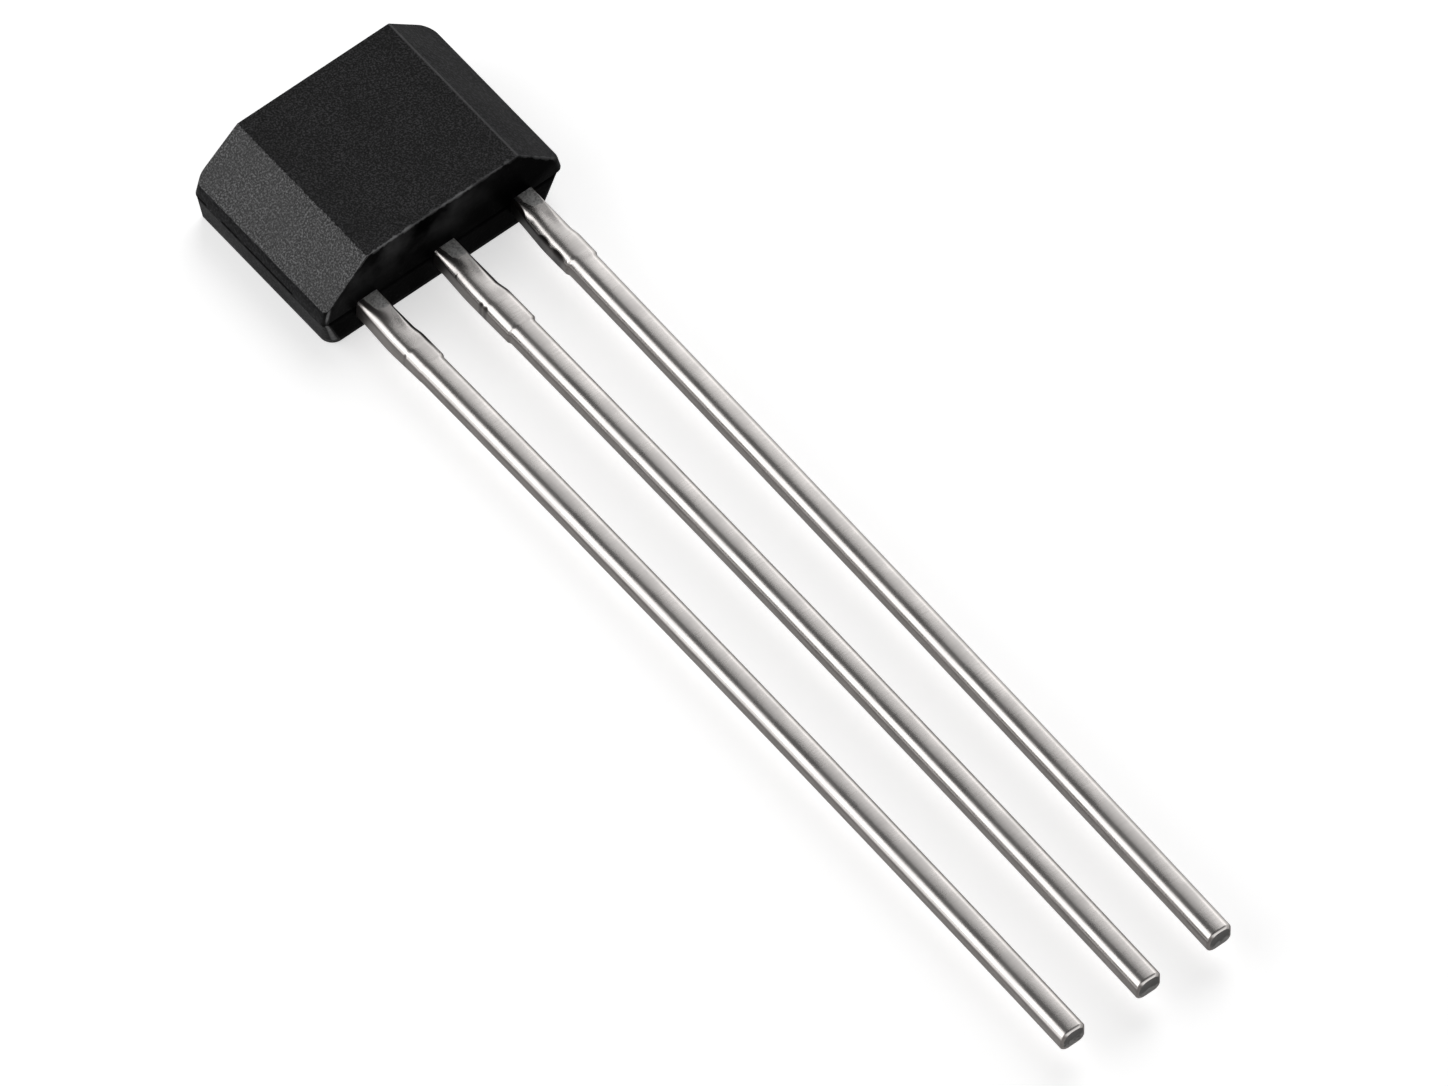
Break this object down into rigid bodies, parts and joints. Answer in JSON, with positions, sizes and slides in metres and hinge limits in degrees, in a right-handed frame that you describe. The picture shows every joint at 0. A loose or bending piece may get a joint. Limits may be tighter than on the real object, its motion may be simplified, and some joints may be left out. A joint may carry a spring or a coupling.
{
  "type": "hall effect sensor",
  "caption": "Magnetic switch sensor in a flat black moulded package with bevelled sides and straight tinned leads in one row.",
  "frame": {"origin": "middle of the package's back face, in line with the middle lead", "axes": "+Z out of the sensing face, +X from the supply lead to the output lead, -Y along the leads towards their tips"},
  "size_m": [0.004, 0.0172, 0.0015],
  "materials": {
    "moulding_compound": "black epoxy moulding compound, fine matte grain",
    "tinned_lead": "dipped tin, satin to bright",
    "silicon": "polished silicon",
    "silver_epoxy": "silver-filled epoxy",
    "gold_wire": "bright gold"
  },
  "bodies": {
    "root": {"package_body": "moulding_compound", "lead_supply": "tinned_lead", "lead_ground": "tinned_lead", "lead_output": "tinned_lead", "hall_die": "silicon", "die_attach": "silver_epoxy", "wire_supply": "gold_wire", "wire_ground": "gold_wire", "wire_output": "gold_wire"}
  },
  "joints": []
}
